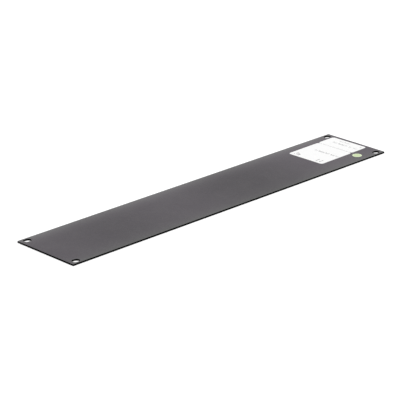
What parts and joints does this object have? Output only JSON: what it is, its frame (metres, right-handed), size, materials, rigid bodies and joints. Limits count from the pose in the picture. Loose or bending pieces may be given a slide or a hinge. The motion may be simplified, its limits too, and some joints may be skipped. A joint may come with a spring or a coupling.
{
  "type": "rack blanking panel",
  "caption": "Flat black sheet-steel panel with slotted screw holes at its corners, for closing an unused space in a 19-inch rack, with paper labels on its rear face.",
  "frame": {"origin": "centre of the front face, which is underneath as the panel lies", "axes": "+X along the panel to the labelled end, +Y across the panel, +Z out of the rear face"},
  "size_m": [0.4826, 0.0882, 0.0021],
  "materials": {
    "powder_coat": "fine-textured satin black powder coat",
    "label_paper": "matte white paper with grey print blocks",
    "green_paper": "matte pale green paper"
  },
  "bodies": {
    "root": {"panel": "powder_coat", "large_label": "label_paper", "small_label": "label_paper", "round_sticker": "green_paper"}
  },
  "joints": []
}
